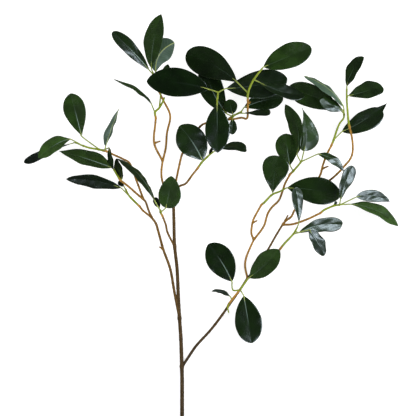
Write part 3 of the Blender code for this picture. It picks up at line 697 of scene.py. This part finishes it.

# %% [markdown]
# ## The leaf finish
#
# Ficus leaves are almost black green on top with a waxy, satin gloss, and a dull grey green
# underneath, where the yellow-green rib stands out. The top's colour differs from leaf to leaf and a
# little within each. On top the rib is a paler streak with a painted highlight on it, which fades out
# past the middle. A material for each face would part the blade at its edge, so one Principled shader
# does both: the stored face number picks the colour and the roughness.

# %% Leaf material
LEAF_DARK = (0.0028, 0.009, 0.0024)
LEAF_MIDDLE = (0.045, 0.105, 0.018)
LEAF_UNDER_DARK = (0.011, 0.03, 0.014)
LEAF_UNDER = (0.072, 0.14, 0.082)
BLACK = (0.0, 0.0, 0.0)
VEIN_TOP = (0.05, 0.11, 0.05)
VEIN_UNDER = (0.17, 0.26, 0.17)
LEAF_RIM = (0.1, 0.17, 0.07)
# The rib's streak on top: the rib's own paler colour with a painted highlight on it.
PALE_RIB_AND_HIGHLIGHT = (0.26, 0.37, 0.33)
RIB_UNDER = (0.36, 0.43, 0.14)
SMOOTHEST, ROUGHEST, SATIN_ROUGHER, UNDER_ROUGHER = 0.18, 0.26, 0.11, 0.2


def leaf_material():
    """Waxy dark green top, dull grey green underside, pale rib with a painted highlight on top, and fine side
    veins.
    """
    material, tree, shader = open_material("ficus_leaf")
    _, along, across, share = stored(tree, "blade")
    _, under, green, rib_highlight_strength = stored(tree, "looks")
    _, rim, leaf_chance, pale = stored(tree, "rim")
    _, satin, _, _ = stored(tree, "wax")
    place = object_place(tree)
    clouds = speckle(tree, place, 55.0, 3.0)
    wander = maths(tree, "MULTIPLY", maths(tree, "ADD", speckle(tree, place, 90.0), leaf_chance), 1.6)
    veins = tree.nodes.new("ShaderNodeGroup")
    veins.node_tree = LEAF_VEINS
    for name, value in (("Along", along), ("Across", across), ("Wander", wander)):
        tree.links.new(value, veins.inputs[name])
    rib, side = veins.outputs["Rib"], veins.outputs["Side veins"]

    top = blend_colours(tree, green, LEAF_DARK, LEAF_MIDDLE)
    top = blend_colours(tree, soft_step(tree, clouds, 0.3, 0.7, 0.0, 0.45), top, BLACK)
    top = blend_colours(tree, maths(tree, "MULTIPLY", side, 0.04), top, VEIN_TOP)
    # Painted highlight along the rib: a pale streak on top, strongest at the base, fading out past the
    # middle; part of it is the rib's own paler colour.
    rib_and_highlight = maths(tree, "MULTIPLY", soft_step(tree, share, 0.3, 0.7, 1.0, 0.05), rib_highlight_strength)
    top = blend_colours(tree, maths(tree, "MULTIPLY", rib, rib_and_highlight), top, PALE_RIB_AND_HIGHLIGHT)

    bottom = blend_colours(tree, pale, LEAF_UNDER_DARK, LEAF_UNDER)
    bottom = blend_colours(tree, soft_step(tree, clouds, 0.3, 0.7, 0.0, 0.3), bottom, LEAF_UNDER_DARK)
    bottom = blend_colours(tree, maths(tree, "MULTIPLY", side, 0.35), bottom, VEIN_UNDER)
    bottom = blend_colours(tree, rib, bottom, RIB_UNDER)
    colour = blend_colours(tree, under, top, bottom)
    edge = maths(tree, "MULTIPLY", soft_step(tree, rim, 0.95, 1.0), 0.25)
    colour = blend_colours(tree, edge, colour, LEAF_RIM)

    grain = speckle(tree, place, 1800.0)
    height = maths(tree, "ADD", veins.outputs["Height"], maths(tree, "MULTIPLY", grain, 0.35))
    rough = soft_step(tree, clouds, 0.25, 0.75, SMOOTHEST, ROUGHEST)
    rough = maths(tree, "ADD", rough, maths(tree, "MULTIPLY", satin, SATIN_ROUGHER))
    rough = maths(tree, "ADD", rough, maths(tree, "MULTIPLY", under, UNDER_ROUGHER))
    finish_shader(tree, shader, Base_Color=colour, Roughness=rough, Specular_IOR_Level=0.75,
                  Normal=bump(tree, height, 0.5, 0.00012))
    return material


LEAF = leaf_material()
print("leaf material nodes:", len(LEAF.node_tree.nodes))

# %% [markdown]
# ## Green shoots and stalks
#
# New growth is yellow green and smooth. Where a shoot leaves its twig the green goes over into orange
# brown within a few millimetres, and each leaf stands on a thin darker ring. A gradient through the
# room would cut straight across a bent shoot, so the points carry how green their place is.

# %% Shoot material
SHOOT_GREEN = (0.28, 0.35, 0.026)
SHOOT_SHADE = (0.16, 0.215, 0.018)
STALK_PALE = (0.37, 0.44, 0.11)
TWIG_ORANGE = (0.48, 0.245, 0.042)
TWIG_SHADE = (0.38, 0.195, 0.034)
STEM_GREY = (0.05, 0.035, 0.019)
STEM_SHADE = (0.032, 0.022, 0.011)
RING_DARK = (0.06, 0.034, 0.014)


def shoot_material():
    """Yellow-green skin over orange brown, with fine lengthwise lines."""
    material, tree, shader = open_material("green_shoot")
    _, green, pale, ring = stored(tree, "growth")
    lines = grain_speckle(tree, 0.12, 2.2, 4.0)
    blotch = speckle(tree, object_place(tree), 160.0, 3.0)
    fresh = blend_colours(tree, pale, SHOOT_GREEN, STALK_PALE)
    fresh = blend_colours(tree, soft_step(tree, blotch, 0.35, 0.7, 0.0, 0.6), fresh, SHOOT_SHADE)
    wood = blend_colours(tree, soft_step(tree, lines, 0.35, 0.65), TWIG_ORANGE, TWIG_SHADE)
    turned = soft_step(tree, maths(tree, "ADD", green, maths(tree, "MULTIPLY", blotch, 0.4)), 0.35, 1.0)
    colour = blend_colours(tree, turned, wood, fresh)
    colour = blend_colours(tree, maths(tree, "MULTIPLY", ring, 0.6), colour, RING_DARK)
    finish_shader(tree, shader, Base_Color=colour, Roughness=0.42, Specular_IOR_Level=0.25,
                  Normal=bump(tree, lines, 0.4, 0.0002))
    return material


SHOOT = shoot_material()

# %% [markdown]
# ## Bark
#
# The stem's bark is greyish brown with fine lengthwise wrinkles, pale specks and ring scars, and it
# gets thinner and more orange towards the twigs. Modelled wrinkles would need a far finer mesh, so they
# are noise that is stretched along the grain: the stored grain runs along the stem and round it, and
# the streaks turn with every bend. The cut end of the stem shows pale pith.

# %% Bark material
SPECK = (0.3, 0.2, 0.11)
PITH, PITH_SHADE = (0.62, 0.5, 0.31), (0.42, 0.31, 0.17)


def bark_material():
    """Grey brown on the stem to orange brown on the twigs, wrinkled lengthwise, with pale specks."""
    material, tree, shader = open_material("ficus_bark")
    _, age, ring, cut = stored(tree, "growth")
    place = object_place(tree)
    wrinkles = grain_speckle(tree, 0.10, 1.6, 5.0)
    specks = speckle(tree, place, 900.0, 1.0)
    blotch = soft_step(tree, speckle(tree, place, 90.0, 4.0), 0.35, 0.7)
    young = blend_colours(tree, blotch, TWIG_ORANGE, TWIG_SHADE)
    old = blend_colours(tree, blotch, STEM_GREY, STEM_SHADE)
    colour = blend_colours(tree, age, young, old)
    colour = blend_colours(tree, soft_step(tree, wrinkles, 0.45, 0.65, 0.0, 0.25), colour, RING_DARK)
    pale = maths(tree, "MULTIPLY", soft_step(tree, specks, 0.66, 0.74), 0.5)
    colour = blend_colours(tree, pale, colour, SPECK)
    colour = blend_colours(tree, maths(tree, "MULTIPLY", ring, 0.55), colour, RING_DARK)
    pith = blend_colours(tree, soft_step(tree, wrinkles, 0.35, 0.7), PITH, PITH_SHADE)
    colour = blend_colours(tree, cut, colour, pith)
    height = maths(tree, "ADD", wrinkles, maths(tree, "MULTIPLY", pale, 0.3))
    rough = soft_step(tree, wrinkles, 0.3, 0.7, 0.55, 0.8)
    finish_shader(tree, shader, Base_Color=colour, Roughness=rough, Specular_IOR_Level=0.12,
                  Normal=bump(tree, height, 0.7, 0.0004))
    return material


BARK = bark_material()
print("materials:", [material.name for material in (LEAF, SHOOT, BARK)])

# %% [markdown]
# ## The woody branch
#
# Stem, branches and twigs are one grown piece, so they go into one mesh. A true union would leave a
# sharp seam at each fork, so each stem starts inside the one that it grows from, with a short collar,
# and its parent swells a little there. Along it come the rings that fallen leaves left, a few
# millimetres to a few centimetres apart. A bark age of 1 is grey brown and 0 is orange; the two numbers
# are those at a stem's start and end.

# %% Wood
STEM_SCARS = [96, 118, 170, 173, 208, 211, 252, 290, 333, 366]
STEM_AGES, RIGHT_AGES, LEFT_AGES = (1.0, 0.85), (1.0, 0.8), (0.85, 0.6)
YOUNG_AGES, NUB_AGES = (0.3, 0.05), (0.35, 0.5)
TWIG_AGES = {"inner": (0.75, 0.5), "right_long": (0.95, 0.75), "left_low": (0.5, 0.3),
             "left_fork": (0.6, 0.5), "left_tip": (0.45, 0.3), "right_of_stem": (0.45, 0.3)}
BARK_FLOOR = 0.02


def swelling(run, places, height, width):
    """Sum of bell curves: the height times e to the minus (distance / width) squared at each place."""
    places = np.asarray(places, float).reshape(1, -1)
    return (height * np.exp(-((run[:, None] - places) / width) ** 2)).sum(axis=1)


def fall(run, ends):
    """Numbers that go evenly from one at the start of a stem to another at its end."""
    return ends[0] + (ends[1] - ends[0]) * run / run[-1]


def knotted_line(route, step, collar, reach, knots, height, width):
    """The middle line of a stem, the distance along it, where its knots are, and how much thicker it is:
    1 plus a collar that dies away from its start, plus a swelling at each knot."""
    line = resample(smooth_route(route), step)
    run = distances(line)
    places = [run[np.argmin(np.linalg.norm(line - np.array(knot, float), axis=1))] for knot in knots]
    return line, run, places, 1 + collar * np.exp(-run / reach) + swelling(run, places, height, width)


def wood_tube(route, radii, ages, forks=(), scars=(), collar=0.35, around=16, rounded=False):
    """One stem: its radius falls evenly, plus a collar at its start, a swelling at each fork, a narrow
    ring at each leaf scar and two slow waves."""
    line, run, _, thicker = knotted_line(route, 1.2, collar, 2.5, forks, 0.22, 3.0)
    rings = swelling(run, scars, 1.0, 0.7)
    radius = fall(run, radii) * (thicker + 0.11 * rings)
    radius = radius * (1 + 0.02 * np.sin(run * 0.9) + 0.015 * np.sin(run * 0.37 + 1.0))
    if rounded:
        radius = radius * rounded_end(run, radii[1])
    growth = np.stack([fall(run, ages), np.clip(rings, 0, 1), 0 * run], axis=1)
    return stem_tube(line, radius, around, floor=BARK_FLOOR, growth=growth)


def scar_places(length, apart):
    """Uneven places of leaf scars along a stem."""
    return np.cumsum(chance.uniform(0.6, 1.4, int(length / apart) + 1) * apart)


def build_branch():
    """Stem, branches, twigs and nubs in one mesh, and the pale cut face of the stem."""
    stem_forks = [RIGHT_BRANCH[0], LEFT_BRANCH[0], TWIGS["inner"][0]]
    right_forks = [TWIGS["right_cross"][0]]
    stem_radii, branch_radii = (STEM_RADIUS, FORK_RADIUS), (BRANCH_RADIUS, BRANCH_END_RADIUS)
    parts = [
        wood_tube(STEM, stem_radii, STEM_AGES, stem_forks, STEM_SCARS, collar=0.0, around=20),
        wood_tube(RIGHT_BRANCH, branch_radii, RIGHT_AGES, right_forks, scar_places(170, 24)),
        wood_tube(LEFT_BRANCH, branch_radii, LEFT_AGES, (), scar_places(190, 26)),
    ]
    for name, route in TWIGS.items():
        scars = scar_places(distances(np.array(route, float))[-1], 19)
        ages = TWIG_AGES.get(name, YOUNG_AGES)
        parts.append(wood_tube(route, (TWIG_RADIUS, TWIG_RADIUS - 0.1), ages, (), scars))
    for route in NUBS:
        parts.append(wood_tube(route, (NUB_RADIUS, NUB_RADIUS - 0.2), NUB_AGES, collar=0.6, rounded=True))
    face = np.array([(0, -0.15, REST), (0, 0.2, REST), (0, 0.5, REST)])
    pith = np.tile((1.0, 0.0, 1.0), (len(face), 1))
    parts.append(stem_tube(face, [2.8, 3.0, 3.0], 20, floor=BARK_FLOOR, growth=pith))
    return make_piece("branch_bark", parts, BARK, "woody_branch")


branch = build_branch()
print("bark faces:", len(branch.data.polygons))

# %% [markdown]
# ## The leafy sprays
#
# A spray is a shoot with its leaves. Its blades make one piece and its shoot and stalks another, because
# they have different finishes. A stalk that ended at its blade would look stuck on, so it runs on under
# the blade as the start of the rib, as it does on the real leaf.

# %% Shoots, stalks and blades
BROWN_RUN, GREEN_RUN = 2.0, 9.0
BROWN_RUNS = {"spray_right_base": 32.0}
SHOOT_STEP = 0.8


def shoot_seat(stem, place=None, out=None):
    """Where a shoot meets the wood and its direction there: end to end with a twig, or out of the side
    of one, at the bark."""
    route = np.array(RIGHT_BRANCH if stem == "branch" else TWIGS[stem], float)
    if place is None:
        return route[-1], unit(route[-1] - route[-2])
    place, out = np.array(place, float), np.array(out, float)
    starts, steps = route[:-1], np.diff(route, axis=0)
    share = np.clip(((place - starts) * steps).sum(axis=1) / (steps ** 2).sum(axis=1), 0, 1)
    feet = starts + steps * share[:, None]
    best = np.argmin(np.linalg.norm(feet - place, axis=1))
    along = unit(steps[best])
    out = unit(out - along * out.dot(along))
    bark = BRANCH_RADIUS if stem == "branch" else TWIG_RADIUS
    return feet[best] + out * (bark - 0.4), out


def shoot_tube(route, radii, brown, leaf_roots):
    """A green shoot: brown for its first millimetres, swollen a little where each leaf leaves it."""
    line, run, nodes, thicker = knotted_line(route, SHOOT_STEP, 0.1, 2.0, leaf_roots, 0.15, 1.8)
    radius = fall(run, radii) * thicker * rounded_end(run, radii[1])
    green = np.clip((run - brown) / GREEN_RUN, 0.0, 1.0) if brown > 0 else 1 + 0 * run
    rings = np.clip(swelling(run, nodes, 0.5, 0.6), 0, 1)
    return stem_tube(line, radius, 14, growth=np.stack([green, 0 * run, rings], axis=1))


def leaf_stalk(shape):
    """A stalk from the shoot to the blade that runs on under the blade's rib and fades into it."""
    shares = np.array([0.0, 0.06, 0.14, 0.24])
    line, tangents = rib_line(shape, shares)
    _, up = blade_sides(shape, tangents, shares)
    under = line - up * np.array([0.15, 0.35, 0.5, 0.55])[:, None]
    line = resample(smooth_route(np.vstack([shape["root"], under]), 8), SHOOT_STEP)
    run = distances(line)
    stalk = np.linalg.norm(np.array(shape["base"], float) - np.array(shape["root"], float))
    past = np.clip((run - stalk) / max(run[-1] - stalk, 1.0), 0, 1)
    radius = STALK_RADIUS * (1 - 0.12 * np.clip(run / stalk, 0, 1)) * (1 - 0.7 * past)
    radius = (radius + 0.3 * np.exp(-run)) * rounded_end(run, 0.4)
    growth = np.stack([1 + 0 * run, np.clip(run / 6.0, 0, 1), 0 * run], axis=1)
    return stem_tube(line, radius, 12, growth=growth)


def build_spray(node, plan):
    """The two pieces of a spray: its blades, and its shoot with the stalks."""
    shapes = plan["leaves"]
    leaves = make_piece(node + "_leaves", [leaf_blade(shape) for shape in shapes], LEAF, node)
    seat, along = shoot_seat(*plan["joins"])
    roots = [shape["root"] for shape in shapes]
    main, *sides = plan["shoots"]
    main = [seat, seat + along * 2.0] + main
    stems = [shoot_tube(main, (SHOOT_RADIUS, SHOOT_END_RADIUS), BROWN_RUNS.get(node, BROWN_RUN), roots)]
    stems += [shoot_tube(side, (SHOOT_END_RADIUS, SIDE_SHOOT_END_RADIUS), 0.0, roots) for side in sides]
    stems += [leaf_stalk(shape) for shape in shapes]
    return leaves, make_piece(node + "_stems", stems, SHOOT, node)


faces = 0
for node, plan in SPRAYS.items():
    faces += sum(len(piece.data.polygons) for piece in build_spray(node, plan))
print("faces of the sprays:", faces)

# %% [markdown]
# ## Floor
#
# The photo shows the branch on pure white, without a shadow. A plain white surface would still show
# one under key light, so the floor is pale paper that also glows a little. It is left out of what the
# glossy leaves mirror, so that it adds no white sheen to them.

# %% Floor
FLOOR_REACH = 4.0
PAPER, PAPER_SHADE = (0.58, 0.58, 0.58), (0.55, 0.55, 0.55)
FLOOR_GLOW = 0.78

floor_mesh = bpy.data.meshes.new("pale_floor")
corners = [(x * FLOOR_REACH, y * FLOOR_REACH, 0) for x, y in ((-1, -1), (1, -1), (1, 1), (-1, 1))]
floor_mesh.from_pydata(corners, [], [(0, 1, 2, 3)])
floor_material, tree, shader = open_material("pale_floor")
paper = speckle(tree, object_place(tree), 400.0)
finish_shader(tree, shader, Base_Color=blend_colours(tree, paper, PAPER_SHADE, PAPER), Roughness=0.9,
              Emission_Color=(1.0, 1.0, 1.0, 1.0), Emission_Strength=FLOOR_GLOW)
floor_mesh.materials.append(floor_material)
floor = add_object("pale_floor", floor_mesh)
floor.visible_glossy = False
print("floor glow:", FLOOR_GLOW)

# %% [markdown]
# ## Light
#
# In the photo the flat leaves are nearly black and only the tilted ones catch a pale, bluish sheen. One
# bright sky would put gloss on all of them, so the sky is dim, and dimmer overhead than low down. Three
# low boxes are seen in gloss alone, where a tilted leaf mirrors them. A key and a fill box light the
# colours and are not mirrored.

# %% Sky and soft boxes
SKY_LOW, SKY_HIGH, SKY_BELOW = 0.08, 0.015, 0.03
SKY_COLOUR, SHEEN_COLOUR, PLAIN_COLOUR = (0.93, 0.97, 1.0, 1.0), (0.76, 0.89, 1.0), (1.0, 1.0, 1.0)
BOX_DISTANCE = 2.6

world = bpy.data.worlds.new("studio")
world.use_nodes = True
bpy.context.scene.world = world
tree = world.node_tree
heading = add_node(tree, "ShaderNodeTexCoord").outputs["Generated"]
rise = add_node(tree, "ShaderNodeSeparateXYZ", {"Vector": heading}).outputs[2]
above = soft_step(tree, rise, 0.15, 0.92, SKY_LOW, SKY_HIGH)
share = soft_step(tree, rise, -0.15, 0.05)
step = maths(tree, "MULTIPLY", maths(tree, "SUBTRACT", above, SKY_BELOW), share)
background = tree.nodes["Background"]
background.inputs["Color"].default_value = SKY_COLOUR
tree.links.new(maths(tree, "ADD", step, SKY_BELOW), background.inputs["Strength"])


def soft_box(name, bearing, rise, size, radiance, sheen=False):
    """A square area light that faces the branch from a bearing and a rise in degrees. Its power is pi
    times its area times its radiance. A sheen box is only seen in gloss, and the others only light."""
    data = bpy.data.lights.new(name, "AREA")
    data.size = size
    data.energy = math.pi * size ** 2 * radiance
    data.color = SHEEN_COLOUR if sheen else PLAIN_COLOUR
    light = add_object(name, data)
    turn, lift = math.radians(bearing), math.radians(rise)
    out = Vector((math.cos(lift) * math.cos(turn), math.cos(lift) * math.sin(turn), math.sin(lift)))
    light.location = out * BOX_DISTANCE
    light.rotation_euler = (-out).to_track_quat("-Z", "Y").to_euler()
    light.visible_diffuse, light.visible_glossy = not sheen, sheen
    return light


boxes = [
    soft_box("sheen_box_front", 280, 18, 0.85, 15.5, sheen=True),
    soft_box("sheen_box_right", 330, 18, 0.85, 15.5, sheen=True),
    soft_box("sheen_box_back", 25, 18, 0.95, 15, sheen=True),
    soft_box("key_box", 15, 48, 1.8, 6.2),
    soft_box("fill_box", 195, 50, 1.8, 4.2),
]
bpy.context.scene.view_settings.view_transform = "Standard"
print("power of the boxes:", [round(box.data.energy, 1) for box in boxes])
